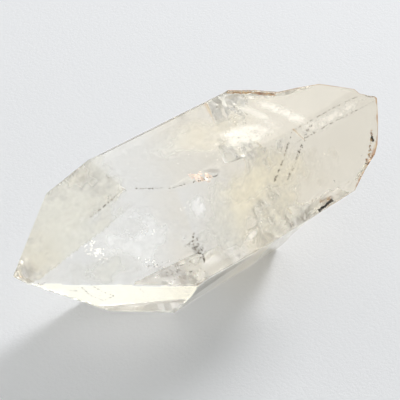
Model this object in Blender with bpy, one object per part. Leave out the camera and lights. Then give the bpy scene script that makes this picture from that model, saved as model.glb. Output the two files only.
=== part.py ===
"""A natural quartz point: one broken, single-terminated crystal, lying on a prism face.

Six prism faces run along the crystal's long axis (X), six rhombohedral faces close its tip at
-X, and the +X end is the rough fracture where it broke from its matrix. The origin is the
centre of the bounding box's underside, +Z is up, and the tip points along -X.
"""

import math

import bmesh
import bpy
from mathutils import Matrix, Vector

MM = 0.001

# Quartz's own angle: a rhombohedral face's normal leans this far from the long axis.
RHOMBOHEDRAL_LEAN = math.radians(51.79)

# Around the axis a face's angle is measured from straight up, turning towards -Y.
# (name, angle in degrees, distance of the prism face from the axis in mm,
#  X in mm where the rhombohedral face above it meets that prism face)
FACES = (
    ("top", 0.0, 15.7, -19.3),
    ("front_upper", 60.0, 14.5, -11.8),
    ("front_lower", 120.0, 15.8, -13.9),
    ("underside", 180.0, 15.6, -25.0),
    ("back_lower", 240.0, 14.5, -37.5),
    ("back_upper", 300.0, 18.9, -28.0),
)

# A vicinal facet, six degrees off the front lower prism face, that undercuts it towards the base.
VICINAL_NORMAL = (0.046, -0.820, -0.570)
VICINAL_POINT = (-15.0, -12.6, -9.7)

# The tip's own small facet: the front upper rhombohedral face turned a little about a line in it.
TIP_LINE_START = (-38.31, 8.20, 1.38)
TIP_LINE_END = (-38.15, 5.47, -3.11)
TIP_FACET_TURN = math.radians(5.6)

# The bruised band along the ridge between the top and front upper faces, as two lines in mm.
BAND_UPPER = ((19.6, -7.42, 15.70), (31.0, -6.20, 15.70), (45.0, -4.60, 15.70))
BAND_LOWER = ((21.2, -9.04, 13.29), (31.7, -8.73, 13.82), (45.0, -8.35, 14.48))
BAND_LIFT = 4.0

# Outline of the broken base: (angle round the axis in degrees, X in mm).
BREAK_OUTLINE = (
    (17.5, 39.1), (32.5, 42.4), (50.0, 40.6), (66.7, 38.6), (73.4, 37.1), (81.0, 33.3),
    (86.7, 30.8), (91.1, 28.7), (93.6, 24.0), (95.4, 16.4), (104.0, 14.6), (114.0, 15.8),
    (126.0, 14.4), (140.0, 16.0), (157.0, 15.3), (180.0, 14.2), (205.0, 12.6), (230.0, 13.6),
    (255.0, 15.6), (280.0, 16.4), (300.0, 16.8), (319.8, 17.8), (330.3, 22.7), (342.0, 26.0),
    (346.9, 29.9), (354.7, 34.7),
)
# The fracture runs smoothly between its outline and one shallow hollow inside it.
INNER_AT = (3.0, -3.0)
INNER_X = 15.5
INNER_WEIGHT = 40.0
FALL_OFF = 2.6
BREAK_RINGS = 12
BREAK_STEP = 6.0
BREAK_REACH = 1.35
# The ripples of a conchoidal fracture spread from the point that was struck.
STRUCK_AT = (-10.0, 16.0)
RIPPLE_LENGTH = 5.2
RIPPLE_HEIGHT = 0.42

BLOCK = 60.0
EDGE_SHARPER_THAN = math.radians(20)


def clear_scene():
    for old in list(bpy.data.objects):
        bpy.data.objects.remove(old)


def around(angle_deg):
    """Unit vector square to the axis, at an angle from +Z towards -Y."""
    a = math.radians(angle_deg)
    return Vector((0.0, -math.sin(a), math.cos(a)))


def rhombohedral(angle_deg):
    lean = RHOMBOHEDRAL_LEAN
    return around(angle_deg) * math.sin(lean) + Vector((-1.0, 0.0, 0.0)) * math.cos(lean)


def face_planes():
    """(point, outward normal) of every flat growth face, in mm."""
    planes = []
    for _name, angle, distance, shoulder in FACES:
        prism = around(angle)
        planes.append((prism * distance, prism))
        planes.append((prism * distance + Vector((shoulder, 0.0, 0.0)), rhombohedral(angle)))
    planes.append((Vector(VICINAL_POINT), Vector(VICINAL_NORMAL).normalized()))
    start, end = Vector(TIP_LINE_START), Vector(TIP_LINE_END)
    tip_normal = Matrix.Rotation(TIP_FACET_TURN, 3, end - start) @ rhombohedral(FACES[1][1])
    planes.append((start, tip_normal))
    return planes


def grown_crystal():
    """The unbroken crystal: a block cut back to each growth face in turn."""
    bm = bmesh.new()
    bmesh.ops.create_cube(bm, size=2 * BLOCK)
    for point, normal in face_planes():
        everything = bm.verts[:] + bm.edges[:] + bm.faces[:]
        cut = bmesh.ops.bisect_plane(
            bm, geom=everything, plane_co=point, plane_no=normal, clear_outer=True
        )
        rim = [e for e in cut["geom_cut"] if isinstance(e, bmesh.types.BMEdge)]
        bmesh.ops.holes_fill(bm, edges=rim)
    bmesh.ops.recalc_face_normals(bm, faces=bm.faces[:])
    return bm


def outline_x(angle_deg):
    """X of the broken edge at an angle, straight between the outline's points."""
    points = BREAK_OUTLINE
    for (a, xa), (b, xb) in zip(points, points[1:] + ((points[0][0] + 360.0, points[0][1]),)):
        turn = angle_deg + (360.0 if angle_deg < points[0][0] else 0.0)
        if a <= turn <= b:
            return xa + (xb - xa) * (turn - a) / (b - a)
    return points[0][1]


def crystal_radius(angle_deg):
    """How far the prism reaches from the axis at an angle."""
    ways = []
    for _name, face_angle, distance, _shoulder in FACES:
        facing = math.cos(math.radians(angle_deg - face_angle))
        if facing > 0.01:
            ways.append(distance / facing)
    return min(ways)


def break_angles():
    """Every outline point's angle, and others between them so that no step is wide."""
    angles = []
    corners = [a for a, _x in BREAK_OUTLINE]
    for a, b in zip(corners, corners[1:] + [corners[0] + 360.0]):
        steps = max(1, math.ceil((b - a) / BREAK_STEP))
        angles += [(a + (b - a) * i / steps) % 360.0 for i in range(steps)]
    return angles


def outline_samples():
    """The outline as (y, z, X, length of edge that the sample stands for)."""
    angles = break_angles()
    points = [around(a) * crystal_radius(a) for a in angles]
    samples = []
    for i, (angle, point) in enumerate(zip(angles, points)):
        length = (points[(i + 1) % len(points)] - points[i - 1]).length / 2
        samples.append((point.y, point.z, outline_x(angle), length))
    return samples


def spread_x(samples, y, z):
    """X at a point inside the outline, each sample counting less the further away it is."""
    total = INNER_WEIGHT / (math.hypot(y - INNER_AT[0], z - INNER_AT[1]) ** FALL_OFF + 1.0)
    x = total * INNER_X
    for sample_y, sample_z, sample_x, length in samples:
        weight = length / (math.hypot(y - sample_y, z - sample_z) ** FALL_OFF + 1e-6)
        x += weight * sample_x
        total += weight
    return x / total


def break_point(samples, angle_deg, share):
    """A point of the fracture, at a share of the way from the axis to the crystal's side."""
    side = around(angle_deg) * crystal_radius(angle_deg) * share
    if share >= 1.0:
        return Vector((outline_x(angle_deg), side.y, side.z))
    struck = math.hypot(side.y - STRUCK_AT[0], side.z - STRUCK_AT[1])
    ripple = RIPPLE_HEIGHT * math.sin(2 * math.pi * struck / RIPPLE_LENGTH)
    x = spread_x(samples, side.y, side.z) + ripple * math.sin(math.pi * share)
    return Vector((x, side.y, side.z))


def add_object(name, bm):
    mesh = bpy.data.meshes.new(name)
    bm.to_mesh(mesh)
    bm.free()
    obj = bpy.data.objects.new(name, mesh)
    bpy.context.scene.collection.objects.link(obj)
    return obj


def mark_as_cutter(obj):
    obj.hide_render = True
    obj.display_type = "WIRE"
    return obj


def base_cutter():
    """Everything beyond the fracture, as one closed solid."""
    bm = bmesh.new()
    angles = break_angles()
    samples = outline_samples()
    centre = bm.verts.new(break_point(samples, 0.0, 0.0))
    rings = []
    for ring in range(1, BREAK_RINGS + 1):
        share = ring / BREAK_RINGS
        rings.append([bm.verts.new(break_point(samples, a, share)) for a in angles])
    rings.append([bm.verts.new(break_point(samples, a, BREAK_REACH)) for a in angles])
    far = []
    for a in angles:
        side = around(a) * crystal_radius(a) * BREAK_REACH
        far.append(bm.verts.new(Vector((BLOCK + 5.0, side.y, side.z))))
    rings.append(far)
    count = len(angles)
    for i in range(count):
        j = (i + 1) % count
        bm.faces.new((centre, rings[0][i], rings[0][j]))
        for inner, outer in zip(rings, rings[1:]):
            bm.faces.new((inner[i], outer[i], outer[j], inner[j]))
    bm.faces.new(far)
    bmesh.ops.triangulate(bm, faces=bm.faces[:])
    bmesh.ops.recalc_face_normals(bm, faces=bm.faces[:])
    return mark_as_cutter(add_object("base_cutter", bm))


def band_cutter():
    """The sliver that the bruised ridge has lost, as one closed solid."""
    bm = bmesh.new()
    lift = around(30.0) * BAND_LIFT
    rows = []
    for upper, lower in zip(BAND_UPPER, BAND_LOWER):
        high, low = Vector(upper), Vector(lower)
        outward = (high - low) * 0.15
        corners = (high + outward, low - outward)
        rows.append([bm.verts.new(p) for p in (*corners, corners[1] + lift, corners[0] + lift)])
    for near, far in zip(rows, rows[1:]):
        for i in range(4):
            j = (i + 1) % 4
            bm.faces.new((near[i], near[j], far[j], far[i]))
    bm.faces.new(rows[0])
    bm.faces.new(rows[-1])
    bmesh.ops.triangulate(bm, faces=bm.faces[:])
    bmesh.ops.recalc_face_normals(bm, faces=bm.faces[:])
    return mark_as_cutter(add_object("band_cutter", bm))


def quartz_material():
    material = bpy.data.materials.new("quartz")
    material.use_nodes = True
    shader = material.node_tree.nodes["Principled BSDF"]
    shader.inputs["Base Color"].default_value = (0.93, 0.91, 0.84, 1.0)
    shader.inputs["Roughness"].default_value = 0.08
    shader.inputs["Metallic"].default_value = 0.0
    shader.inputs["IOR"].default_value = 1.54
    shader.inputs["Transmission Weight"].default_value = 0.8
    return material


def applied_boolean(obj, cutter):
    """The object's mesh after one cut, with nothing left live."""
    cut = obj.modifiers.new("cut", "BOOLEAN")
    cut.operation = "DIFFERENCE"
    cut.solver = "EXACT"
    cut.object = cutter
    bpy.context.view_layer.update()
    seen = obj.evaluated_get(bpy.context.evaluated_depsgraph_get())
    mesh = bpy.data.meshes.new_from_object(seen)
    obj.modifiers.clear()
    obj.data = mesh


def settle_on_origin(obj):
    """Puts the underside's centre at the origin, turns mm into metres and tidies the mesh."""
    bm = bmesh.new()
    bm.from_mesh(obj.data)
    bmesh.ops.remove_doubles(bm, verts=bm.verts[:], dist=0.002)
    bmesh.ops.dissolve_degenerate(bm, edges=bm.edges[:], dist=0.002)
    bmesh.ops.triangulate(bm, faces=bm.faces[:])
    low = Vector([min(v.co[i] for v in bm.verts) for i in range(3)])
    high = Vector([max(v.co[i] for v in bm.verts) for i in range(3)])
    foot = Vector(((low.x + high.x) / 2, (low.y + high.y) / 2, low.z))
    print("size mm", [round(v, 2) for v in high - low], "axis moved by", [round(v, 2) for v in -foot])
    bmesh.ops.translate(bm, verts=bm.verts[:], vec=-foot)
    bmesh.ops.scale(bm, verts=bm.verts[:], vec=(MM, MM, MM))
    bm.to_mesh(obj.data)
    bm.free()
    obj.data.shade_smooth()
    obj.data.set_sharp_from_angle(angle=EDGE_SHARPER_THAN)


def build():
    clear_scene()
    crystal = add_object("quartz_crystal", grown_crystal())
    for cutter in (base_cutter(), band_cutter()):
        applied_boolean(crystal, cutter)
        bpy.data.objects.remove(cutter)
    settle_on_origin(crystal)
    crystal.data.materials.clear()
    crystal.data.materials.append(quartz_material())


build()
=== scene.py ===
# %% [markdown]
# # A quartz point
# A single natural quartz crystal lies on a sheet of pale paper. It is one piece of stone: six long
# prism faces, a faceted point at one end, and at the other the rough break where it left its rock.
# The script loads the measured solid first, and every piece made here keeps to its size and place.

# %% The measured crystal
import math

import bmesh
import bpy
from mathutils import Matrix, Vector
from mathutils.kdtree import KDTree


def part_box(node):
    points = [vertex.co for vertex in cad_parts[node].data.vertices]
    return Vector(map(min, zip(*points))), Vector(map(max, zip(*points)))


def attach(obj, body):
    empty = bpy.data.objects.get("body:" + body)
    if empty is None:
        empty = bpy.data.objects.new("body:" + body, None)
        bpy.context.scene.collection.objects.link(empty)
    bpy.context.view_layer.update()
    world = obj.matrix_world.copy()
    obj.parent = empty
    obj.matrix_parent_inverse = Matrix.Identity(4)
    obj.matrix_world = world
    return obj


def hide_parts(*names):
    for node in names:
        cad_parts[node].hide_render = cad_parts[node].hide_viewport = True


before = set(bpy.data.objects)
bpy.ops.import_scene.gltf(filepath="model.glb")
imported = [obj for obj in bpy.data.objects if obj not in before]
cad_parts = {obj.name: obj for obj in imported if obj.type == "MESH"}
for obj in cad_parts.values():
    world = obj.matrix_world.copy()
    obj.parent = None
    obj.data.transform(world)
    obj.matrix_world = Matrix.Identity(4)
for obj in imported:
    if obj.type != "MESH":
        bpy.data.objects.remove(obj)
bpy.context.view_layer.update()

CRYSTAL = "quartz_crystal"
MM = 0.001
low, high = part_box(CRYSTAL)
print("the solid measures", [round((b - a) / MM, 1) for a, b in zip(low, high)], "mm")

# %% [markdown]
# ## Camera
# The crystal is seen from above its front left side through a long lens, so its parallel edges stay
# nearly parallel. A hand-held camera is never quite level, which an aim point and a roll say more
# plainly than three angles would.

# %% Camera
CAMERA_AT = Vector((-0.188475, -0.252627, 0.272702))
CAMERA_AIM = Vector((-0.00901, -0.01235, 0.02969))
CAMERA_ROLL = math.radians(-2.598)
CAMERA_LENS = 170.33


def show(thing):
    bpy.context.scene.collection.objects.link(thing)
    return thing


def facing(place, target):
    """A matrix at a place, whose -Z looks at the target."""
    turn = (target - place).to_track_quat("-Z", "Y").to_matrix().to_4x4()
    return Matrix.Translation(place) @ turn


camera_data = bpy.data.cameras.new("camera")
camera_data.lens = CAMERA_LENS
camera_data.clip_start = 10 * MM
camera = show(bpy.data.objects.new("camera", camera_data))
camera.matrix_world = facing(CAMERA_AT, CAMERA_AIM) @ Matrix.Rotation(CAMERA_ROLL, 4, "Z")
bpy.context.scene.camera = camera
print("the camera stands", round((CAMERA_AIM - CAMERA_AT).length / MM), "mm from its aim point")

# %% [markdown]
# ## Working with nodes
# Shader trees and geometry trees are both boxes joined by wires. A few small helpers keep the later
# cells readable: wire places a node and fills its sockets, calc and vector_calc do sums, and
# soft_step and noise give the gentle changes and the unevenness that turn up again and again.
# Sizes are given in millimetres.

# %% Node helpers
def wire(tree, kind, sockets=None, **settings):
    """One node, each of its named sockets given a value or joined to another node's output."""
    node = tree.nodes.new(kind)
    for name, value in settings.items():
        setattr(node, name, value)
    for name, value in (sockets or {}).items():
        if isinstance(value, bpy.types.NodeSocket):
            tree.links.new(value, node.inputs[name])
        else:
            node.inputs[name].default_value = value
    return node


def calc(tree, operation, *values):
    return wire(tree, "ShaderNodeMath", dict(enumerate(values)), operation=operation).outputs[0]


def vector_calc(tree, operation, *values):
    """Vector Math. SCALE takes its factor in the fourth place."""
    sockets = {i: v for i, v in enumerate(values) if v is not None}
    node = wire(tree, "ShaderNodeVectorMath", sockets, operation=operation)
    return node.outputs["Value" if operation in ("DOT_PRODUCT", "LENGTH") else "Vector"]


print("nodes can be placed and joined")


# %% Soft steps, noise and new trees
def soft_step(tree, value, start, end, result=(0.0, 1.0)):
    """Turns smoothly from one result to the other as the value goes from start to end."""
    sockets = {"Value": value, "From Min": start, "From Max": end,
               "To Min": result[0], "To Max": result[1]}
    return wire(tree, "ShaderNodeMapRange", sockets, interpolation_type="SMOOTHSTEP").outputs[0]


def noise(tree, place, size_mm, seed, detail=3.0, roughness=0.55):
    """Noise from 0 to 1, about as big as size_mm from blot to blot."""
    sockets = {"Vector": place, "W": seed, "Detail": detail, "Roughness": roughness}
    node = wire(tree, "ShaderNodeTexNoise", sockets, noise_dimensions="4D")
    if isinstance(size_mm, bpy.types.NodeSocket):
        tree.links.new(calc(tree, "DIVIDE", 1 / MM, size_mm), node.inputs["Scale"])
    else:
        node.inputs["Scale"].default_value = 1 / (size_mm * MM)
    return node.outputs[0]


def new_tree(name, kind, inputs, outputs):
    """A node tree with named sockets. Each input is (name, type, default)."""
    tree = bpy.data.node_groups.new(name, kind)
    sockets = tree.interface
    for socket, kind_name, default in inputs:
        made = sockets.new_socket(socket, in_out="INPUT", socket_type="NodeSocket" + kind_name)
        if default is not None:
            made.default_value = default
    for socket, kind_name in outputs:
        sockets.new_socket(socket, in_out="OUTPUT", socket_type="NodeSocket" + kind_name)
    return tree, tree.nodes.new("NodeGroupInput"), tree.nodes.new("NodeGroupOutput")


print("soft steps, noise and new trees can be made")

# %% [markdown]
# ## Finishes that several materials share
# The quartz is clear in places and cloudy in others, and iron has crept in from the broken end. Both
# show on the grown faces and on the break, so each is a group that any material can hold, with its
# own values. They put out only colours and masks, and they read the piece's own coordinates.

# %% Two colours and a mask
WHITE, BLACK = (1, 1, 1, 1), (0, 0, 0, 1)
MIX_A, MIX_B, MIXED = 6, 7, 2  # the colour sockets of a Mix node


def tint_group(name, inputs):
    """A shader group that puts out a colour and the mask it was mixed by."""
    return new_tree(name, "ShaderNodeTree", inputs, [("Colour", "Color"), ("Mask", "Float")])


def blend(tree, result, mask, one, other):
    """Mixes two colours by a mask, and puts out the mix and the mask."""
    sockets = {"Factor": mask, MIX_A: one, MIX_B: other}
    mixed = wire(tree, "ShaderNodeMix", sockets, data_type="RGBA")
    tree.links.new(mixed.outputs[MIXED], result.inputs["Colour"])
    tree.links.new(mask, result.inputs["Mask"])


print("tint groups put out a colour and a mask")

# %% Cloudiness
BASE_CLOUD_MM = (-9.0, 6.0)  # where, along the crystal, clear stone turns cloudy towards the break
TIP_CLOUD_MM = (-29.0, -40.0)  # and where it does so towards the tip
TIP_CLOUD = 0.5


def cloudiness_group():
    inputs = [("Clear colour", "Color", WHITE), ("Cloud colour", "Color", WHITE),
              ("Cloud size", "Float", 9.0), ("Amount", "Float", 1.0)]
    tree, given, result = tint_group("cloudiness", inputs)
    place = wire(tree, "ShaderNodeTexCoord").outputs["Object"]
    x = wire(tree, "ShaderNodeSeparateXYZ", {0: place}).outputs["X"]
    along = calc(tree, "MULTIPLY", x, 1 / MM)
    towards_base = soft_step(tree, along, *BASE_CLOUD_MM)
    towards_tip = soft_step(tree, along, *TIP_CLOUD_MM, (0.0, TIP_CLOUD))
    drift = calc(tree, "SUBTRACT", noise(tree, place, given.outputs["Cloud size"], 3.1), 0.5)
    mask = calc(tree, "ADD", calc(tree, "MAXIMUM", towards_base, towards_tip), drift)
    mask = calc(tree, "MULTIPLY", soft_step(tree, mask, 0.0, 1.0), given.outputs["Amount"])
    blend(tree, result, mask, given.outputs["Clear colour"], given.outputs["Cloud colour"])
    return tree


cloudiness = cloudiness_group()
print("group", cloudiness.name)

# %% Iron stain
STAIN_FROM, STAIN_FULL = 8 * MM, 15 * MM  # heights above the floor
RUST = (0.35, (0.55, 0.27, 0.13, 1))  # place on the ramp, colour
OCHRE = (0.62, (0.90, 0.66, 0.36, 1))


def iron_stain_group():
    inputs = [("Stone colour", "Color", WHITE), ("Reach", "Float", 1.0), ("Strength", "Float", 1.0)]
    tree, given, result = tint_group("iron_stain", inputs)
    place = wire(tree, "ShaderNodeTexCoord").outputs["Object"]
    rim = wire(tree, "ShaderNodeAttribute", attribute_name="rim_mm").outputs["Fac"]
    patches = soft_step(tree, noise(tree, place, 6.0, 8.3), 0.35, 0.75, (0.15, 1.6))
    reach = calc(tree, "MULTIPLY", given.outputs["Reach"], patches)
    closeness = calc(tree, "SUBTRACT", 1.0, calc(tree, "DIVIDE", rim, reach))
    grit = calc(tree, "SUBTRACT", noise(tree, place, 0.9, 1.7, 5.0, 0.7), 0.5)
    mask = soft_step(tree, calc(tree, "ADD", closeness, grit), 0.0, 1.0)
    height = wire(tree, "ShaderNodeSeparateXYZ", {0: place}).outputs["Z"]
    mask = calc(tree, "MULTIPLY", mask, soft_step(tree, height, STAIN_FROM, STAIN_FULL))
    mask = calc(tree, "MULTIPLY", mask, given.outputs["Strength"])
    ramp = wire(tree, "ShaderNodeValToRGB", {0: noise(tree, place, 3.0, 5.9)})
    for stop, (position, colour) in zip(ramp.color_ramp.elements, (RUST, OCHRE)):
        stop.color, stop.position = colour, position
    blend(tree, result, mask, given.outputs["Stone colour"], ramp.outputs["Color"])
    return tree


iron_stain = iron_stain_group()
print("group", iron_stain.name)


# %% Growth lines
LONG_WAYS = (1.0, 0.08, 0.08)  # squeezes the noise into lines across the crystal


def growth_lines_group():
    inputs = [("Spacing", "Float", 0.5), ("Unevenness", "Float", 1.0)]
    tree, given, result = new_tree("growth_lines", "ShaderNodeTree", inputs, [("Height", "Float")])
    place = wire(tree, "ShaderNodeTexCoord").outputs["Object"]
    stretched = vector_calc(tree, "MULTIPLY", place, LONG_WAYS)
    lines = noise(tree, stretched, given.outputs["Spacing"], 2.2, 2.0, 0.6)
    mottle = calc(tree, "MULTIPLY", noise(tree, place, 1.6, 6.4), given.outputs["Unevenness"])
    tree.links.new(calc(tree, "ADD", lines, mottle), result.inputs["Height"])
    return tree


growth_lines = growth_lines_group()
print("group", growth_lines.name)

# %% [markdown]
# ## Quartz
# Quartz is glassy and only just tinted. A glass shader with quartz's index of refraction bends light
# as the stone does, and the groups above give it cloud, stain and growth lines. The cream tint sits in
# the base colours. A Volume Absorption in both materials turns the broken end brown, and the same
# volume with one material all round does not: light that goes in by one material and comes out by the
# other seems to keep the volume with it. The break is the same stone, rougher.

# %% Quartz materials
QUARTZ_IOR = 1.54


def new_material(name):
    material = bpy.data.materials.new(name)
    material.use_nodes = True
    return material, material.node_tree, material.node_tree.nodes["Principled BSDF"]


def place_group(tree, group, **values):
    """A shader group in a material, its sockets named with _ for a space."""
    node = wire(tree, "ShaderNodeGroup", node_tree=group)
    for name, value in values.items():
        socket = node.inputs[name.replace("_", " ")]
        if isinstance(value, bpy.types.NodeSocket):
            tree.links.new(value, socket)
        else:
            socket.default_value = value
    return node


def quartz_material(name, clear, cloud, cloud_amount, stain_reach, transmission, gloss, spacing, relief):
    """gloss is the roughness of clear and of cloudy stone; spacing and relief are in mm."""
    material, tree, shader = new_material(name)
    clouds = place_group(tree, cloudiness, Clear_colour=clear, Cloud_colour=cloud, Amount=cloud_amount)
    stain = place_group(tree, iron_stain, Stone_colour=clouds.outputs["Colour"], Reach=stain_reach)
    tree.links.new(stain.outputs["Colour"], shader.inputs["Base Color"])
    frosting = calc(tree, "MAXIMUM", clouds.outputs["Mask"], stain.outputs["Mask"])
    tree.links.new(soft_step(tree, frosting, 0.0, 1.0, gloss), shader.inputs["Roughness"])
    lines = place_group(tree, growth_lines, Spacing=spacing).outputs["Height"]
    bump = wire(tree, "ShaderNodeBump", {"Height": lines, "Distance": relief * MM, "Strength": 0.6})
    tree.links.new(bump.outputs["Normal"], shader.inputs["Normal"])
    shader.inputs["IOR"].default_value = QUARTZ_IOR
    shader.inputs["Transmission Weight"].default_value = transmission
    return material


grown_quartz = quartz_material(
    "quartz_grown_faces", clear=(1.0, 0.995, 0.975, 1), cloud=(1.0, 0.94, 0.82, 1), cloud_amount=0.9,
    stain_reach=1.1, transmission=0.97, gloss=(0.0, 0.05), spacing=0.5, relief=0.003)
broken_quartz = quartz_material(
    "quartz_broken_face", clear=(1.0, 0.965, 0.90, 1), cloud=(1.0, 0.93, 0.79, 1), cloud_amount=1.0,
    stain_reach=1.3, transmission=0.95, gloss=(0.03, 0.10), spacing=0.8, relief=0.01)
print("materials", grown_quartz.name, "and", broken_quartz.name)

# %% [markdown]
# ## The body
# The measured solid has the right faces but no skin. A merged copy of it is cut into a grid of small
# facets, so that there are points to move, and each point is told how far it lies from a crystal edge
# and from the rim of the break. A geometry tree then chips the edges, ripples the grown faces by a
# hundredth of a millimetre and roughens the break. A sculpt could do the same once; the tree can be
# run again with other numbers. It only ever moves points inwards, so the crystal keeps its size.

# %% A fine copy of the solid
GRID_MM = 1.0
GRID_BACK = 0.4  # share of a step that the cuts are moved by, so that they miss the corners
FLAT_ANGLE = math.radians(0.4)  # facets that meet flatter than this are one face
GROWN_AREA = 3.0 * MM * MM  # a grown face is larger than this
GROWN_LEAN = 0.15  # and its normal leans less than this towards the base


def fine_copy(source):
    """The solid's facets as flat polygons, then cut along a grid. Broken faces get material index 1."""
    mesh = source.data.copy()
    mesh.materials.clear()
    mesh.materials.append(grown_quartz)
    mesh.materials.append(broken_quartz)
    bm = bmesh.new()
    bm.from_mesh(mesh)
    bmesh.ops.remove_doubles(bm, verts=bm.verts[:], dist=0.002 * MM)
    bmesh.ops.dissolve_limit(bm, angle_limit=FLAT_ANGLE, verts=bm.verts[:], edges=bm.edges[:])
    for face in bm.faces:
        grown = face.calc_area() > GROWN_AREA and face.normal.x < GROWN_LEAN
        face.material_index = 0 if grown else 1
    for axis in range(3):
        across = Vector([float(i == axis) for i in range(3)])
        steps = int((high[axis] - low[axis]) / (GRID_MM * MM))
        for step in range(1, steps + 1):
            at = across * (low[axis] + (step - GRID_BACK) * GRID_MM * MM)
            geometry = bm.verts[:] + bm.edges[:] + bm.faces[:]
            bmesh.ops.bisect_plane(bm, geom=geometry, plane_co=at, plane_no=across, dist=0.001 * MM)
    bmesh.ops.triangulate(bm, faces=bm.faces[:])
    return mesh, bm


print("a grid of", GRID_MM, "mm")

# %% How far each point is from an edge and from the rim
EDGE_ANGLE = math.radians(14)  # a crystal edge is sharper than this
SAMPLE_MM = 0.25


def distances(bm, edges):
    """How far each point is from the nearest of these edges, in mm."""
    samples = []
    for edge in edges:
        a, b = (v.co for v in edge.verts)
        count = max(1, int((b - a).length / (SAMPLE_MM * MM)))
        samples += [a.lerp(b, i / count) for i in range(count + 1)]
    tree = KDTree(len(samples))
    for i, sample in enumerate(samples):
        tree.insert(sample, i)
    tree.balance()
    return [tree.find(v.co)[2] / MM for v in bm.verts]


def store(mesh, name, values):
    made = mesh.attributes.new(name, "FLOAT", "POINT")
    made.data.foreach_set("value", values)


print("samples every", SAMPLE_MM, "mm")


# %% The body and what its points know
def prepared_body():
    mesh, bm = fine_copy(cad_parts[CRYSTAL])
    bm.edges.ensure_lookup_table()
    rim = [e for e in bm.edges if len({f.material_index for f in e.link_faces}) == 2]
    corners = [e for e in bm.edges if e.is_manifold and e.calc_face_angle(0) > EDGE_ANGLE
               and not any(f.material_index for f in e.link_faces)]
    edge_mm = distances(bm, corners)
    rim_mm = distances(bm, rim)
    broken = [float(any(f.material_index for f in v.link_faces)) for v in bm.verts]
    bm.to_mesh(mesh)
    bm.free()
    store(mesh, "edge_mm", edge_mm)
    store(mesh, "rim_mm", rim_mm)
    store(mesh, "broken", broken)
    return show(bpy.data.objects.new("quartz_body", mesh))


body = prepared_body()
print("body", len(body.data.polygons), "facets")

# %% Running a geometry tree
def run_tree(obj, tree, **values):
    """Runs a geometry tree on an object with named input values and leaves a plain mesh."""
    modifier = obj.modifiers.new(tree.name, "NODES")
    modifier.node_group = tree
    names = {item.name.replace(" ", "_"): item.identifier
             for item in tree.interface.items_tree if item.in_out == "INPUT"}
    for name, value in values.items():
        modifier[names[name]] = value
    bpy.context.view_layer.update()
    seen = obj.evaluated_get(bpy.context.evaluated_depsgraph_get())
    made = bpy.data.meshes.new_from_object(seen)
    made.name = obj.name
    obj.modifiers.clear()
    obj.data = made
    return obj


print("trees can be run")

# %% Chips, waves and ledges
CHIP_MM, WAVE_MM, ROUGH_MM, LEDGE_MM = 2.4, 7.0, 1.9, 9.0  # size of each kind of unevenness
LEDGES = 9.0  # about how many ledges the fracture drops through


def attribute(tree, name):
    return wire(tree, "GeometryNodeInputNamedAttribute", {"Name": name}, data_type="FLOAT").outputs[0]


def grown_sink(tree, given, place):
    """How deep chips along the edges and waves on the faces sink the grown skin, in mm."""
    chip_size = soft_step(tree, noise(tree, place, CHIP_MM, 4.0), 0.45, 0.75)
    reach = calc(tree, "MULTIPLY", chip_size, given.outputs["Chip reach"])
    reach = calc(tree, "MAXIMUM", 0.02, reach)
    nearness = calc(tree, "SUBTRACT", 1.0, calc(tree, "DIVIDE", attribute(tree, "edge_mm"), reach))
    chips = calc(tree, "MULTIPLY", calc(tree, "MAXIMUM", nearness, 0.0), given.outputs["Chip depth"])
    waves = calc(tree, "MULTIPLY", noise(tree, place, WAVE_MM, 9.0, 1.0), given.outputs["Wave depth"])
    return calc(tree, "ADD", chips, waves)


def broken_sink(tree, given, place):
    """How deep the break's roughness and ledges go, in mm. They are shallower near its rim."""
    rough = calc(tree, "MULTIPLY", noise(tree, place, ROUGH_MM, 12.0, 6.0, 0.6), 0.6)
    drop = calc(tree, "MULTIPLY", noise(tree, place, LEDGE_MM, 14.0, 2.0), LEDGES)
    ledges = calc(tree, "MULTIPLY", calc(tree, "FRACT", drop), 0.4)
    inside_rim = soft_step(tree, attribute(tree, "rim_mm"), 0.0, 1.2, (0.25, 1.0))
    depth = calc(tree, "MULTIPLY", calc(tree, "ADD", rough, ledges), inside_rim)
    return calc(tree, "MULTIPLY", depth, given.outputs["Break depth"])


print("chips of about", CHIP_MM, "mm and", LEDGES, "ledges")


# %% The whole skin
SHARP_ANGLE = math.radians(24)


def skin_tree():
    inputs = [("Geometry", "Geometry", None), ("Chip reach", "Float", 0.5), ("Chip depth", "Float", 0.2),
              ("Wave depth", "Float", 0.012), ("Break depth", "Float", 0.35),
              ("Grown material", "Material", None), ("Broken material", "Material", None)]
    tree, given, result = new_tree("skin", "GeometryNodeTree", inputs, [("Geometry", "Geometry")])
    place = wire(tree, "GeometryNodeInputPosition").outputs[0]
    normal = wire(tree, "GeometryNodeInputNormal").outputs[0]
    broken = attribute(tree, "broken")
    grown = calc(tree, "MULTIPLY", calc(tree, "SUBTRACT", 1.0, broken), grown_sink(tree, given, place))
    rough = calc(tree, "MULTIPLY", broken, broken_sink(tree, given, place))
    sink = calc(tree, "MULTIPLY", calc(tree, "ADD", grown, rough), -MM)
    inwards = vector_calc(tree, "SCALE", normal, None, None, sink)
    moved = wire(tree, "GeometryNodeSetPosition",
                 {"Geometry": given.outputs["Geometry"], "Offset": inwards})
    coat = wire(tree, "GeometryNodeRealizeInstances", {"Geometry": moved.outputs[0]})
    slot = wire(tree, "GeometryNodeInputMaterialIndex").outputs[0]
    for name, side in (("Grown material", "LESS_THAN"), ("Broken material", "GREATER_THAN")):
        coat = wire(tree, "GeometryNodeSetMaterial",
                    {"Geometry": coat.outputs[0], "Material": given.outputs[name],
                     "Selection": calc(tree, side, slot, 0.5)})
    tree.links.new(coat.outputs[0], result.inputs[0])
    return tree


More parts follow.
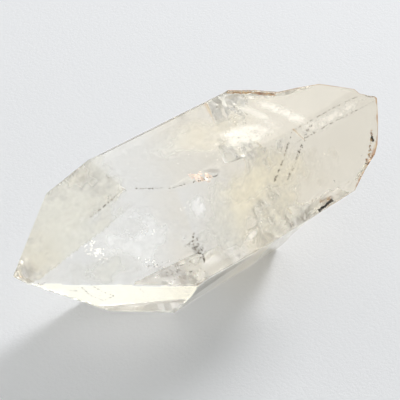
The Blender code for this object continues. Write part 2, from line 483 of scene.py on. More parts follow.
run_tree(body, skin_tree(), Chip_reach=0.8, Chip_depth=0.05, Wave_depth=0.008, Break_depth=0.16,
         Grown_material=grown_quartz, Broken_material=broken_quartz)
body.data.shade_smooth()
body.data.set_sharp_from_angle(angle=SHARP_ANGLE)
print("skin", len(body.data.polygons), "facets,", [m.name for m in body.data.materials])

# %% [markdown]
# ## Veils inside the stone
# Quartz cracks as it grows and heals again, which leaves cloudy sheets of bubbles too small to see.
# Two of the veils are painted light rather than such sheets: a dark one under the lower face is
# painted shade, and a white one along the ridge is a painted highlight. Each veil is a thin closed
# sheet, bowed a little, that fades out towards its edge through its alpha.
# One geometry tree makes them all from a length, a width, a place and a facing, and keeps only what
# lies inside the stone. A matt sheet in the stone comes out darker than a real veil looks, and why
# was not found out, so a faint emission in the sheet's own colour lifts it. Real veils do not
# glow: under another light the emission has to be chosen again, or set to 0.

# %% Veil finishes
def veil_material(name, thin, thick, cover, blot_mm, glow):
    """cover is how much of the light the densest part stops; glow is the emission's strength."""
    material, tree, shader = new_material(name)
    clouds = place_group(tree, cloudiness, Clear_colour=thin, Cloud_colour=thick, Cloud_size=4.0)
    tree.links.new(clouds.outputs["Colour"], shader.inputs["Base Color"])
    place = wire(tree, "ShaderNodeTexCoord").outputs["Object"]
    fade = wire(tree, "ShaderNodeAttribute", attribute_name="fade").outputs["Fac"]
    blots = soft_step(tree, noise(tree, place, blot_mm, 7.7, 5.0, 0.65), 0.25, 0.58)
    dust = calc(tree, "MULTIPLY", calc(tree, "MULTIPLY", fade, blots), cover)
    tree.links.new(dust, shader.inputs["Alpha"])
    tree.links.new(clouds.outputs["Colour"], shader.inputs["Emission Color"])
    shader.inputs["Emission Strength"].default_value = glow
    shader.inputs["Roughness"].default_value = 0.9
    shader.inputs["Specular IOR Level"].default_value = 0.1
    return material


CREAM, PALE_GREEN = (0.985, 0.965, 0.895, 1), (0.985, 0.985, 0.945, 1)
# name, colour where thin, colour where thick, cover, blot size (mm), glow
milk = veil_material("milk_veil", (0.985, 0.985, 0.94, 1), (0.985, 0.96, 0.88, 1), 0.42, 9.0, 0.24)
dense_milk = veil_material("dense_milk_veil", PALE_GREEN, CREAM, 0.78, 12.0, 0.235)
even_milk = veil_material("even_milk_veil", (0.985, 0.98, 0.94, 1), CREAM, 0.88, 30.0, 0.225)
haze = veil_material("haze_veil", (0.98, 0.99, 1.0, 1), (0.99, 0.99, 0.98, 1), 0.45, 6.0, 0.36)
# The white finish is real white dust in most veils, and a painted highlight in the veil along the ridge.
white_dust_and_highlight = veil_material("white_veil", WHITE, (1.0, 0.995, 0.98, 1), 0.85, 2.0, 0.32)
# The smoky finish is real brown dust in the cracks, and painted shade in the veil under the lower face.
smoky_dust_and_shade = veil_material("smoky_veil", (0.50, 0.45, 0.40, 1), (0.60, 0.51, 0.43, 1), 0.22, 1.2, 0.0)
print("six veil finishes")


# %% Inside or outside the stone
def outside_of(tree, stone):
    """1 where a point's way straight up does not leave through the stone's skin: it lies outside."""
    ray = wire(tree, "GeometryNodeRaycast",
               {"Target Geometry": stone, "Ray Direction": (0, 0, 1), "Ray Length": 1.0})
    upwards = vector_calc(tree, "DOT_PRODUCT", ray.outputs["Hit Normal"], (0, 0, 1))
    leaves = calc(tree, "GREATER_THAN", upwards, 0.0)
    return calc(tree, "SUBTRACT", 1.0, calc(tree, "MULTIPLY", ray.outputs["Is Hit"], leaves))


def depth_under_skin(tree, stone, place):
    """How far a point lies under the nearest part of the skin, and that skin's outward normal."""
    near = wire(tree, "GeometryNodeProximity", {0: stone}, target_element="FACES").outputs["Position"]
    outward = wire(tree, "GeometryNodeSampleNearestSurface",
                   {"Mesh": stone, "Value": wire(tree, "GeometryNodeInputNormal").outputs[0]},
                   data_type="FLOAT_VECTOR").outputs[0]
    to_skin = vector_calc(tree, "SUBTRACT", near, place)
    return vector_calc(tree, "DOT_PRODUCT", to_skin, outward), outward


def stone_mesh(tree, given):
    node = wire(tree, "GeometryNodeObjectInfo", {"Object": given.outputs["Stone"]},
                transform_space="ORIGINAL")
    return node.outputs["Geometry"]


def coated(tree, given, result, geometry):
    """The end of a tree: real geometry, with the tree's material."""
    whole = wire(tree, "GeometryNodeRealizeInstances", {"Geometry": geometry})
    coat = wire(tree, "GeometryNodeSetMaterial",
                {"Geometry": whole.outputs[0], "Material": given.outputs["Material"]})
    tree.links.new(coat.outputs[0], result.inputs[0])
    return tree


print("points can be tested against the stone")

# %% A veil's sheet
RAGGED_MM, RAGGED = 4.5, 0.9  # size and strength of a veil's ragged edge
FADED, FULL = 0.92, 0.55  # where a veil is gone and where it is full, as shares of its half size
BOW_MM = 4.0


def faded_sheet(tree, given, place):
    """A flat grid that knows how dense its dust is at each point."""
    length, width = (calc(tree, "MULTIPLY", given.outputs[side], MM) for side in ("Length", "Width"))
    grid = wire(tree, "GeometryNodeMeshGrid",
                {"Size X": length, "Size Y": width,
                 "Vertices X": given.outputs["Columns"], "Vertices Y": given.outputs["Rows"]})
    halves = wire(tree, "ShaderNodeCombineXYZ", {0: length, 1: width, 2: 1.0}).outputs[0]
    share = vector_calc(tree, "LENGTH", vector_calc(tree, "DIVIDE", place, halves))
    elsewhere = vector_calc(tree, "ADD", place, given.outputs["Place"])
    uneven = noise(tree, elsewhere, RAGGED_MM, given.outputs["Seed"], 4.0, 0.6)
    ragged = calc(tree, "MULTIPLY", uneven, RAGGED)
    fade = soft_step(tree, calc(tree, "ADD", share, ragged), FADED, FULL)
    stored = wire(tree, "GeometryNodeStoreNamedAttribute",
                  {"Geometry": grid.outputs["Mesh"], "Name": "fade", "Value": fade},
                  data_type="FLOAT", domain="POINT")
    return stored.outputs[0]


def placed_sheet(tree, given, place, sheet):
    """The sheet bowed a little, turned and moved to its place in the stone."""
    uneven = calc(tree, "SUBTRACT", noise(tree, place, BOW_MM, given.outputs["Seed"]), 0.5)
    rise = calc(tree, "MULTIPLY", calc(tree, "MULTIPLY", uneven, given.outputs["Bow"]), MM)
    lift = wire(tree, "ShaderNodeCombineXYZ", {2: rise}).outputs[0]
    bowed = wire(tree, "GeometryNodeSetPosition", {"Geometry": sheet, "Offset": lift})
    placed = wire(tree, "GeometryNodeTransform",
                  {"Geometry": bowed.outputs[0], "Translation": given.outputs["Place"],
                   "Rotation": given.outputs["Turn"]})
    return placed.outputs[0]


print("a veil bows in waves of", BOW_MM, "mm")

# %% The whole veil
MERGE_MM = 0.001


def closed_sheet(tree, given, sheet):
    """Gives an open sheet its thickness and closes it."""
    thickness = calc(tree, "MULTIPLY", given.outputs["Thickness"], MM)
    over = wire(tree, "GeometryNodeExtrudeMesh",
                {"Mesh": sheet, "Offset Scale": thickness, "Individual": False}, mode="FACES")
    under = wire(tree, "GeometryNodeFlipFaces", {"Mesh": sheet})
    both = wire(tree, "GeometryNodeJoinGeometry")
    tree.links.new(over.outputs[0], both.inputs[0])
    tree.links.new(under.outputs[0], both.inputs[0])
    merged = wire(tree, "GeometryNodeMergeByDistance",
                  {"Geometry": both.outputs[0], "Distance": MERGE_MM * MM})
    return merged.outputs[0]


def veil_tree():
    inputs = [("Geometry", "Geometry", None), ("Length", "Float", 5.0), ("Width", "Float", 3.0),
              ("Place", "Vector", None), ("Turn", "Rotation", None), ("Bow", "Float", 0.3),
              ("Thickness", "Float", 0.04), ("Columns", "Int", 40), ("Rows", "Int", 24),
              ("Seed", "Float", 0.0), ("Material", "Material", None),
              ("Stone", "Object", None), ("Clearance", "Float", 0.25)]
    tree, given, result = new_tree("veil", "GeometryNodeTree", inputs, [("Geometry", "Geometry")])
    place = wire(tree, "GeometryNodeInputPosition").outputs[0]
    sheet = placed_sheet(tree, given, place, faded_sheet(tree, given, place))
    stone = stone_mesh(tree, given)
    depth, _ = depth_under_skin(tree, stone, place)
    clearance = calc(tree, "MULTIPLY", given.outputs["Clearance"], MM)
    unwanted = calc(tree, "MAXIMUM", calc(tree, "LESS_THAN", depth, clearance), outside_of(tree, stone))
    kept = wire(tree, "GeometryNodeDeleteGeometry", {"Geometry": sheet, "Selection": unwanted},
                domain="POINT")
    return coated(tree, given, result, closed_sheet(tree, given, kept.outputs[0]))


veil = veil_tree()
print("tree", veil.name, "has", len(veil.nodes), "nodes")


# %% The veils and their places
def facing_turn(normal, along):
    """The turn that lays a sheet's length along one direction with its face towards another."""
    z = Vector(normal).normalized()
    x = (Vector(along) - z * Vector(along).dot(z)).normalized()
    return Matrix((x, z.cross(x), z)).transposed().to_euler()


def empty_piece(name):
    return show(bpy.data.objects.new(name, bpy.data.meshes.new(name)))


# Outward normals of five faces.
UP, FRONT, POINT_FRONT = (0, 0, 1), (0, -0.866, 0.5), (-0.62, -0.68, 0.39)
POINT_TOP, LOWER_POINT = (-0.62, 0, 0.79), (-0.62, -0.68, -0.39)
# name, finish, length, width, centre (mm), facing, along, bow (mm)
VEILS = (
    ("milk_front", dense_milk, 46.0, 22.0, (6.0, -11.0, 20.5), FRONT, (1, 0, 0.1), 1.0),
    ("milk_top", milk, 34.0, 16.0, (4.0, 3.5, 29.2), UP, (1, -0.1, 0), 1.0),
    ("milk_point", milk, 19.0, 10.0, (-28.0, -2.0, 15.0), POINT_FRONT, (0.7, -0.6, 0.1), 1.0),
    ("milk_point_top", even_milk, 44.0, 38.0, (-29.5, 6.0, 20.0), POINT_TOP, (0, 1, 0), 1.0),
    ("haze_point", haze, 26.0, 14.0, (-18.0, -4.8, 20.0), POINT_FRONT, (0.7, -0.6, 0.0), 1.0),
    ("white_window", white_dust_and_highlight, 7.0, 5.0, (-8.2, -10.3, 26.2), FRONT, (0.4, 0.4, 0.8), 0.3),
    # Painted highlight: this white veil along the ridge lightens the narrow band facet where it reflects a
    # bright part of the room.
    ("white_ridge", white_dust_and_highlight, 24.0, 4.0, (29.5, -8.2, 29.3), (0, -0.7, 0.7), (1, 0, 0), 0.1),
    ("white_patch", white_dust_and_highlight, 18.0, 10.0, (11.5, -2.5, 29.9), UP, (1, -0.35, 0), 0.5),
    ("white_bar", white_dust_and_highlight, 20.0, 5.0, (21.8, 0.0, 30.2), UP, (0.24, -0.97, 0), 0.3),
    ("faint_bar", haze, 15.0, 3.0, (17.6, 1.6, 30.2), UP, (0.24, -0.97, 0), 0.3),
    ("white_streak", white_dust_and_highlight, 6.0, 1.8, (0.8, -16.2, 16.9), FRONT, (1, 0.16, 0.28), 0.1),
    ("smoky_crack", smoky_dust_and_shade, 5.0, 2.0, (-11.8, -14.0, 18.8),
     (-0.3, -0.8, 0.4), (0.15, -0.5, -0.85), 0.6),
    ("smoky_floor", smoky_dust_and_shade, 12.0, 4.0, (-17.0, -12.4, 14.8), POINT_FRONT, (0.7, -0.7, 0), 0.8),
    # Painted shade: this dark veil under the lower face darkens the strip where the stone shows a darker
    # part of the room.
    ("smoky_keel", smoky_dust_and_shade, 16.0, 4.0, (-9.5, -15.57, 10.45),
     (0, -0.87, -0.5), (10.8, -3.6, 6.3), 0.1),
    # This veil makes the point darker and browner.
    ("smoky_tip", smoky_dust_and_shade, 6.0, 5.5, (-38.6, 8.0, 13.4), POINT_FRONT, (0.7, -0.7, 0), 0.3),
    ("smoky_wisp", smoky_dust_and_shade, 5.0, 1.6, (-2.0, -7.4, 30.3), UP, (1, -0.5, 0), 0.3),
    ("milk_shoulder", dense_milk, 26.0, 13.0, (9.0, -10.6, 25.8), FRONT, (1, 0, 0.05), 0.8),
)


POINTS_PER_MM = 2.5  # along a veil's sides, so that the stone cuts a large veil off evenly


def make_veils():
    made = []
    for seed, (name, finish, length, width, centre, normal, along, bow) in enumerate(VEILS):
        piece = run_tree(
            empty_piece(name), veil, Length=length, Width=width, Place=[c * MM for c in centre],
            Columns=max(40, int(POINTS_PER_MM * length)), Rows=max(24, int(POINTS_PER_MM * width)),
            Turn=facing_turn(normal, along), Bow=bow, Seed=float(seed), Material=finish, Stone=body)
        piece.data.shade_smooth()
        made.append(piece)
        print(name, len(piece.data.polygons), "faces")
    return made


veils = make_veils()

# %% [markdown]
# ## Flakes, seams and specks
# Small cracks in the stone hold thin plates of air that flash like mirrors, and iron and clay have
# dried in lines along its edges and healed cracks. Each is a great many small grains, strewn over a
# patch or along a line as a seam. One geometry tree strews them, turns each a little differently and
# pulls any that would stick out back under the skin. The flakes have a faint emission, chosen as for
# the veils, and clay, rust and black specks have none.

# %% Grain finishes
def specks_group():
    inputs = [("Colour A", "Color", WHITE), ("Colour B", "Color", BLACK), ("Size", "Float", 1.0)]
    tree, given, result = tint_group("specks", inputs)
    place = wire(tree, "ShaderNodeTexCoord").outputs["Object"]
    mask = soft_step(tree, noise(tree, place, given.outputs["Size"], 4.4, 3.0, 0.6), 0.38, 0.62)
    blend(tree, result, mask, given.outputs["Colour A"], given.outputs["Colour B"])
    return tree


specks = specks_group()


def grain_material(name, one, other, size_mm, gloss, metallic=0.0, glow=0.0):
    """gloss is the roughness where the colour is one and where it is the other."""
    material, tree, shader = new_material(name)
    tint = place_group(tree, specks, Colour_A=one, Colour_B=other, Size=size_mm)
    tree.links.new(tint.outputs["Colour"], shader.inputs["Base Color"])
    tree.links.new(soft_step(tree, tint.outputs["Mask"], 0.0, 1.0, gloss), shader.inputs["Roughness"])
    tree.links.new(tint.outputs["Colour"], shader.inputs["Emission Color"])
    shader.inputs["Emission Strength"].default_value = glow
    shader.inputs["Metallic"].default_value = metallic
    return material


FLAKE_GLOSS = (0.25, 0.45)
bright_flake = grain_material(
    "bright_flake", (1.0, 1.0, 0.99, 1), (0.99, 0.97, 0.93, 1), 0.7, FLAKE_GLOSS, 0.5, 0.45)
peach_flake = grain_material(
    "peach_flake", (1.0, 0.93, 0.86, 1), (0.97, 0.78, 0.66, 1), 0.6, FLAKE_GLOSS, 0.5, 0.3)
clay_speck = grain_material(
    "clay_speck", (0.10, 0.085, 0.07, 1), (0.36, 0.29, 0.22, 1), 0.5, (0.5, 0.8))
black_speck = grain_material(
    "black_speck", (0.012, 0.011, 0.010, 1), (0.06, 0.045, 0.03, 1), 0.4, (0.4, 0.7))
rust_speck = grain_material(
    "rust_speck", (0.50, 0.22, 0.07, 1), (0.85, 0.60, 0.28, 1), 1.2, (0.6, 0.9))
print("group", specks.name, "and five grain finishes")


# %% Strewn points
ANY_WAY = ((-1, -1, -1), (1, 1, 1))


def random_vector(tree, seed, least, most, offset):
    node = wire(tree, "FunctionNodeRandomValue", {"Seed": calc(tree, "ADD", seed, offset)},
                data_type="FLOAT_VECTOR")
    node.inputs[0].default_value, node.inputs[1].default_value = least, most
    return node.outputs[0]


def scaled(tree, vector, factor):
    return vector_calc(tree, "SCALE", vector, None, None, factor)


def strewn_points(tree, given, seed):
    """Points all over a patch, each moved off it a little."""
    density = calc(tree, "DIVIDE", given.outputs["Density"], MM * MM)
    points = wire(tree, "GeometryNodeDistributePointsOnFaces",
                  {"Mesh": given.outputs["Geometry"], "Seed": seed, "Density": density})
    reach = calc(tree, "MULTIPLY", given.outputs["Scatter"], MM)
    spread = scaled(tree, random_vector(tree, seed, *ANY_WAY, 1.0), reach)
    loose = wire(tree, "GeometryNodeSetPosition", {"Geometry": points.outputs["Points"], "Offset": spread})
    return loose.outputs[0]


def under_the_skin(tree, given, points):
    """Pulls points that are too near the skin inwards, and drops those outside the stone."""
    stone = stone_mesh(tree, given)
    place = wire(tree, "GeometryNodeInputPosition").outputs[0]
    clearance = calc(tree, "MULTIPLY", given.outputs["Clearance"], MM)
    depth, outward = depth_under_skin(tree, stone, place)
    pull = calc(tree, "MINIMUM", calc(tree, "SUBTRACT", depth, clearance), 0.0)
    sunk = wire(tree, "GeometryNodeSetPosition",
                {"Geometry": points, "Offset": scaled(tree, outward, pull)})
    depth, outward = depth_under_skin(tree, stone, place)
    shallow = calc(tree, "LESS_THAN", depth, calc(tree, "MULTIPLY", clearance, 0.9))
    unwanted = calc(tree, "MAXIMUM", shallow, outside_of(tree, stone))
    kept = wire(tree, "GeometryNodeDeleteGeometry",
                {"Geometry": sunk.outputs[0], "Selection": unwanted}, domain="POINT")
    return kept.outputs[0]


print("points can be strewn in the stone")

# %% One grain, its turn and its size
KNOCK = 0.16 * MM  # how far a grain's corners are knocked about, for a grain 1 mm across
NARROW, WIDE = (0.35, 0.35, 0.7), (1.3, 1.3, 1.2)  # smallest and largest share of the size


def knocked_grain(tree, seed):
    ball = wire(tree, "GeometryNodeMeshIcoSphere", {"Radius": 0.5 * MM, "Subdivisions": 1})
    knock = scaled(tree, random_vector(tree, seed, *ANY_WAY, 2.0), KNOCK)
    chip = wire(tree, "GeometryNodeSetPosition", {"Geometry": ball.outputs["Mesh"], "Offset": knock})
    return chip.outputs[0]


def grain_turn(tree, given, seed):
    """Nearly the same facing for every grain, and any turn round it."""
    tilt = scaled(tree, random_vector(tree, seed, (-1, -1, -4), (1, 1, 4), 3.0), given.outputs["Tilt"])
    tilt = wire(tree, "FunctionNodeEulerToRotation", {0: tilt}).outputs[0]
    facing_out = wire(tree, "FunctionNodeAlignRotationToVector",
                      {"Vector": given.outputs["Facing"]}, axis="Z").outputs[0]
    turned = wire(tree, "FunctionNodeRotateRotation", {"Rotation": facing_out, "Rotate By": tilt},
                  rotation_space="LOCAL")
    return turned.outputs[0]


def grain_size(tree, given, seed):
    flat = wire(tree, "ShaderNodeCombineXYZ", {0: 1.0, 1: 1.0, 2: given.outputs["Flatness"]}).outputs[0]
    size = vector_calc(tree, "MULTIPLY", random_vector(tree, seed, NARROW, WIDE, 4.0), flat)
    return scaled(tree, size, given.outputs["Size"])


print("a corner is knocked by up to", round(KNOCK / MM, 2), "mm")


# %% The whole strewing tree
def grain_tree():
    inputs = [("Geometry", "Geometry", None), ("Density", "Float", 4.0), ("Size", "Float", 0.3),
              ("Flatness", "Float", 0.2), ("Facing", "Vector", UP), ("Tilt", "Float", 0.5),
              ("Scatter", "Float", 0.2), ("Seed", "Int", 0), ("Material", "Material", None),
              ("Stone", "Object", None), ("Clearance", "Float", 0.2)]
    tree, given, result = new_tree("grains", "GeometryNodeTree", inputs, [("Geometry", "Geometry")])
    seed = given.outputs["Seed"]
    points = under_the_skin(tree, given, strewn_points(tree, given, seed))
    sockets = {"Points": points, "Instance": knocked_grain(tree, seed),
               "Rotation": grain_turn(tree, given, seed), "Scale": grain_size(tree, given, seed)}
    chips = wire(tree, "GeometryNodeInstanceOnPoints", sockets)
    return coated(tree, given, result, chips.outputs[0])


grains = grain_tree()
print("tree", grains.name, "has", len(grains.nodes), "nodes")


# %% Patches and ribbons to strew grains over
def patch(name, corners):
    """A flat-ish polygon through corners given in mm."""
    mesh = bpy.data.meshes.new(name)
    mesh.from_pydata([[c * MM for c in corner] for corner in corners], [], [tuple(range(len(corners)))])
    return show(bpy.data.objects.new(name, mesh))


def ribbon(name, points, width, normal):
    """A narrow strip along points given in mm, lying across a normal."""
    points = [Vector(point) for point in points]
    corners, faces = [], []
    for i, point in enumerate(points):
        along = points[min(i + 1, len(points) - 1)] - points[max(i - 1, 0)]
        across = along.cross(Vector(normal)).normalized() * width / 2
        corners += [(point - across) * MM, (point + across) * MM]
    for i in range(len(points) - 1):
        faces.append((2 * i, 2 * i + 1, 2 * i + 3, 2 * i + 2))
    mesh = bpy.data.meshes.new(name)
    mesh.from_pydata(corners, [], faces)
    return show(bpy.data.objects.new(name, mesh))


CORNERS = 8


def box_patch(centre, half_length, half_width, along, normal):
    """The corners of a rounded patch about a centre, all in mm."""
    normal = Vector(normal).normalized()
    along = (Vector(along) - normal * Vector(along).dot(normal)).normalized()
    across = normal.cross(along)
    ring = []
    for i in range(CORNERS):
        angle = 2 * math.pi * i / CORNERS
        ring.append(Vector(centre) + along * half_length * math.cos(angle)
                    + across * half_width * math.sin(angle))
    return ring


print("patches and ribbons can be made")

# %% Patches of grains
PLATE_FACING = (0.0, -0.2, 0.98)  # the plates lie along one plane, so that they flash together
# name, finish, (grains in a square mm, size in mm, flatness, tilt, scatter in mm), corners (mm)
PATCHES = (
    ("flakes_a", bright_flake, (2.6, 0.50, 0.12, 0.5, 0.7),
     box_patch((-27.4, 0.3, 18.2), 3.0, 1.6, (2.6, -3.7, -2.3), POINT_FRONT)),
    ("flakes_star", bright_flake, (7.0, 0.55, 0.12, 0.5, 0.5),
     box_patch((-26.6, -0.2, 18.4), 1.0, 0.9, (1, -1, 0), POINT_FRONT)),
    ("flakes_b", bright_flake, (2.6, 0.40, 0.12, 0.5, 0.5),
     box_patch((-31.7, 3.0, 17.4), 1.4, 0.8, (1, -1, 0), POINT_FRONT)),
    ("flakes_c", bright_flake, (1.8, 0.40, 0.12, 0.5, 0.5),
     box_patch((-17.9, -6.0, 22.3), 1.7, 0.7, (1, -1, 0), POINT_FRONT)),
    ("flakes_d", bright_flake, (1.6, 0.40, 0.12, 0.5, 0.6),
     box_patch((-10.0, -9.1, 26.2), 2.0, 1.0, (1, -1, 0), POINT_FRONT)),
    ("flakes_e", bright_flake, (1.6, 0.40, 0.12, 0.5, 0.6),
     box_patch((-19.7, -7.6, 16.8), 2.2, 1.0, (1, -1, 0), POINT_FRONT)),
    ("flakes_low", bright_flake, (0.5, 0.55, 0.12, 0.5, 0.8),
     box_patch((-16.5, -12.0, 14.6), 6.5, 1.8, (0.7, -0.7, 0), POINT_FRONT)),
    ("clay_low", clay_speck, (2.4, 0.32, 0.4, 0.8, 0.8),
     box_patch((-16.0, -12.2, 14.8), 6.0, 1.6, (0.7, -0.7, 0), POINT_FRONT)),
    ("clay_crack", clay_speck, (4.5, 0.32, 0.4, 0.8, 0.4),
     box_patch((-11.3, -14.0, 18.6), 3.0, 0.9, (0.15, -0.5, -0.85), FRONT)),
    ("peach_plates", peach_flake, (5.0, 0.85, 0.12, 0.35, 0.4),
     box_patch((-5.0, -7.0, 30.0), 2.6, 0.9, (1, -0.8, 0), UP)),
    ("bright_plates", bright_flake, (2.2, 0.75, 0.12, 0.35, 0.4),
     box_patch((9.5, 0.1, 29.8), 2.2, 1.3, (1, -0.4, 0), UP)),
    ("pale_mark", bright_flake, (3.0, 0.35, 0.2, 0.5, 0.2),
     box_patch((25.4, -11.7, 24.0), 1.1, 0.4, (0.4, -0.4, -0.8), FRONT)),
    ("dust_front", bright_flake, (0.16, 0.22, 0.2, 0.8, 0.8),
     ((-6, -11.5, 25), (26, -11.5, 25), (22, -17, 15.5), (-4, -16.5, 16.5))),
    ("dust_top", bright_flake, (0.16, 0.24, 0.2, 0.8, 0.5),
     ((-14, -5, 30.4), (25, -7, 30.4), (20, 8, 30.4), (-14, 8, 30.4))),
    ("black_mark", black_speck, (46.0, 0.46, 0.5, 0.8, 0.1),
     box_patch((37.7, -13.4, 22.7), 0.6, 0.35, (0.2, 0.3, 1), FRONT)),
)
print(len(PATCHES), "patches")

# %% Seams of grains
# name, finish, the same five numbers, width (mm), facing, points (mm)
SEAMS = (
    ("dotted_crack_long", clay_speck, (30.0, 0.33, 0.6, 0.8, 0.15), 0.15, FRONT,
     ((18.8, -8.8, 31.0), (15.1, -10.7, 27.7), (10.7, -12.6, 24.4))),
    ("dotted_crack_short", clay_speck, (22.0, 0.33, 0.6, 0.8, 0.25), 0.2, FRONT,
     ((21.8, -9.7, 29.1), (18.1, -11.3, 26.5), (14.1, -13.0, 23.6))),
    ("dotted_crack_top", clay_speck, (6.0, 0.34, 0.6, 0.8, 0.3), 0.5, FRONT,
     ((24.6, -8.4, 30.2), (21.8, -9.7, 29.1))),
    ("lower_crack", clay_speck, (16.0, 0.34, 0.6, 0.8, 0.1), 0.2, LOWER_POINT,
     ((-32.2, -0.3, 11.4), (-29.4, 0.0, 6.6), (-27.1, -1.2, 5.0))),
    ("lower_crack_fork", clay_speck, (13.0, 0.32, 0.6, 0.8, 0.1), 0.2, LOWER_POINT,
     ((-30.5, -1.9, 12.2), (-28.6, -2.3, 9.3), (-26.0, -3.4, 7.1), (-27.1, -1.2, 5.0))),
    ("lower_crack_side", clay_speck, (12.0, 0.30, 0.6, 0.8, 0.1), 0.2, LOWER_POINT,
     ((-33.8, 2.3, 9.6), (-32.2, 1.1, 9.1))),
    ("lower_crack_dash", clay_speck, (14.0, 0.30, 0.6, 0.8, 0.1), 0.2, LOWER_POINT,
     ((-23.1, -8.6, 11.3), (-21.7, -8.4, 9.0))),
    ("fracture_line", clay_speck, (12.0, 0.34, 0.6, 0.8, 0.3), 0.25, FRONT,
     ((-11.7, -13.5, 22.8), (-12.7, -13.7, 21.2), (-13.9, -13.3, 20.0))),
    ("fracture_edge", clay_speck, (12.0, 0.38, 0.6, 0.8, 0.3), 0.5, FRONT,
     ((-12.8, -14.1, 20.5), (-12.0, -15.6, 19.1), (-11.4, -16.6, 17.4))),
    ("shoulder_seam", clay_speck, (9.0, 0.34, 0.6, 0.8, 0.1), 0.25, POINT_FRONT,
     ((-26.6, 2.2, 25.4), (-19.3, -0.7, 31.0), (-11.9, -7.1, 31.0), (-1.1, -9.0, 30.3))),
    ("ridge_upper", clay_speck, (30.0, 0.21, 0.6, 0.8, 0.05), 0.12, UP,
     ((19.9, -8.2, 30.9), (30.5, -7.5, 30.7), (40.6, -7.4, 30.4))),
    ("ridge_lower", clay_speck, (30.0, 0.21, 0.6, 0.8, 0.05), 0.12, FRONT,
     ((18.5, -9.9, 28.9), (28.5, -9.7, 29.1), (41.4, -9.8, 29.0))),
    ("rim_dash", black_speck, (44.0, 0.44, 0.5, 0.8, 0.1), 0.4, FRONT,
     ((18.7, -17.2, 15.0), (22.9, -17.2, 15.9))),
    ("rim_rust_top", rust_speck, (22.0, 0.45, 0.5, 0.8, 0.2), 0.8, UP,
     ((17.8, 11.6, 31.2), (21.2, 8.2, 31.2), (25.0, 3.9, 31.2))),
    ("rim_rust_side", rust_speck, (10.0, 0.40, 0.5, 0.8, 0.2), 0.5, FRONT,
     ((38.5, -12.8, 24.5), (36.2, -14.6, 21.0), (33.1, -16.2, 18.1))),
    ("tip_clay", clay_speck, (9.0, 0.26, 0.6, 0.8, 0.2), 0.7, POINT_FRONT,
     ((-38.8, 4.8, 12.6), (-37.6, 5.6, 11.4))),
)


print(len(SEAMS), "seams")

# %% Strewing them all
GRAIN_FACES = 20
GRAIN_CLEARANCE, CLEARANCE_BY_SIZE = 0.12, 0.6  # mm under the skin, and more for a larger grain


def strew():
    """Patches first and then seams: the place in this order is the seed."""
    bases = [(patch(name, corners), finish, grain) for name, finish, grain, corners in PATCHES]
    bases += [(ribbon(name, points, width, facing), finish, grain)
              for name, finish, grain, width, facing, points in SEAMS]
    for seed, (piece, finish, (density, size, flatness, tilt, scatter)) in enumerate(bases):
        run_tree(piece, grains, Facing=PLATE_FACING, Density=density, Size=size, Flatness=flatness,
                 Tilt=tilt, Scatter=scatter, Seed=seed, Material=finish, Stone=body,
                 Clearance=GRAIN_CLEARANCE + CLEARANCE_BY_SIZE * size)
        print(piece.name, len(piece.data.polygons) // GRAIN_FACES, "grains")
    return [piece for piece, _, _ in bases]


strewn = strew()

# %% [markdown]
# ## Floor and light
# The floor is pale paper with a faint tooth. One round soft window stands low on the right behind the
# crystal, and the room round it is even, with a few paler places. One of them, low on the right, is
# seen through the lower end face and makes that face glow.

# %% Floor
PAPER = (0.885, 0.90, 0.935, 1)
FLOOR_REACH, FLOOR_BELOW = 3.0, -0.1 * MM  # metres to each side, and a gap under the crystal
TOOTH_MM, TOOTH_DEPTH = 0.8, 0.16 * MM


def paper_floor():
    mesh = bpy.data.meshes.new("floor")
    sides = ((-1, -1), (1, -1), (1, 1), (-1, 1))
    corners = [(x * FLOOR_REACH, y * FLOOR_REACH, FLOOR_BELOW) for x, y in sides]
    mesh.from_pydata(corners, [], [(0, 1, 2, 3)])
    material, tree, shader = new_material("paper")
    place = wire(tree, "ShaderNodeTexCoord").outputs["Object"]
    tooth = wire(tree, "ShaderNodeBump", {"Height": noise(tree, place, TOOTH_MM, 0.0, 4.0, 0.7),
                                          "Distance": TOOTH_DEPTH, "Strength": 0.6})
    tree.links.new(tooth.outputs["Normal"], shader.inputs["Normal"])
    shader.inputs["Base Color"].default_value = PAPER
    shader.inputs["Roughness"].default_value = 0.9
    mesh.materials.append(material)
    return show(bpy.data.objects.new("floor", mesh))


floor = paper_floor()
print("floor", floor.name)


# %% Light
def direction(azimuth, elevation):
    azimuth, elevation = math.radians(azimuth), math.radians(elevation)
    level = math.cos(elevation)
    return Vector((level * math.cos(azimuth), level * math.sin(azimuth), math.sin(elevation)))


ROOM = (0.36, 0.36, 0.34)
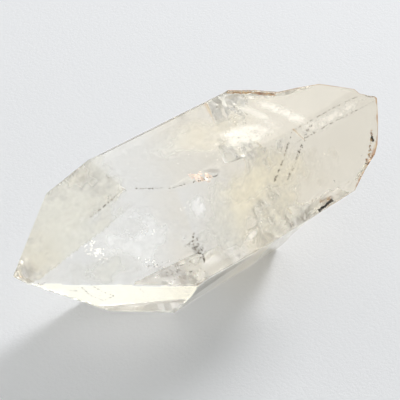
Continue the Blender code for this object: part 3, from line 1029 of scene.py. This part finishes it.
# azimuth, elevation, angle that is fully lit, angle where it ends (degrees), added colour
PALER_PLACES = (
    (18, 6, 12, 34, (0.92, 0.91, 0.80)),
    (57, 42, 6, 26, (0.9, 0.9, 0.88)),
    (62, 27, 2, 11, (0.45, 0.44, 0.40)),
    (172, 17, 8, 26, (0.42, 0.42, 0.41)),
    (105, 24, 6, 26, (0.34, 0.34, 0.33)),
    (0, 90, 20, 75, (0.15, 0.155, 0.16)),
)


def studio_world():
    world = bpy.data.worlds.new("studio")
    world.use_nodes = True
    tree = world.node_tree
    looking = wire(tree, "ShaderNodeTexCoord").outputs["Generated"]
    light = ROOM
    for azimuth, elevation, inner, outer, colour in PALER_PLACES:
        cosine = vector_calc(tree, "DOT_PRODUCT", looking, direction(azimuth, elevation))
        glow = soft_step(tree, cosine, math.cos(math.radians(outer)), math.cos(math.radians(inner)))
        light = vector_calc(tree, "ADD", light, scaled(tree, colour, glow))
    tree.links.new(light, tree.nodes["Background"].inputs["Color"])
    return world


def window_light(azimuth, elevation, distance, size, radiance, colour):
    """A round soft light, as bright as its radiance wherever it is seen."""
    data = bpy.data.lights.new("window", "AREA")
    data.shape = "DISK"
    data.size = size
    data.energy = radiance * (math.pi * size / 2) ** 2
    data.color = colour
    lamp = show(bpy.data.objects.new("window", data))
    lamp.matrix_world = facing(direction(azimuth, elevation) * distance, Vector())
    return lamp


scene = bpy.context.scene
scene.world = studio_world()
window_light(azimuth=21, elevation=22, distance=1.5, size=0.475, radiance=31.0,
             colour=(1.0, 0.995, 1.015))

# %% How far light is followed
# Light meets many faces and veils on its way through the stone, and each one is a bounce.
BOUNCES = {"max_bounces": 24, "glossy_bounces": 16, "transmission_bounces": 24, "diffuse_bounces": 8,
           "transparent_max_bounces": 96}
for setting, count in BOUNCES.items():
    setattr(scene.cycles, setting, count)
scene.cycles.sample_clamp_indirect = 24
scene.view_settings.view_transform = "Standard"
print("bounces", BOUNCES)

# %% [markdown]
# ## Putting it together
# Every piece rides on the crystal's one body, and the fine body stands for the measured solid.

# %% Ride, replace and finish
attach(body, "root")
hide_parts(CRYSTAL)
for piece in veils + strewn:
    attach(piece, "root")
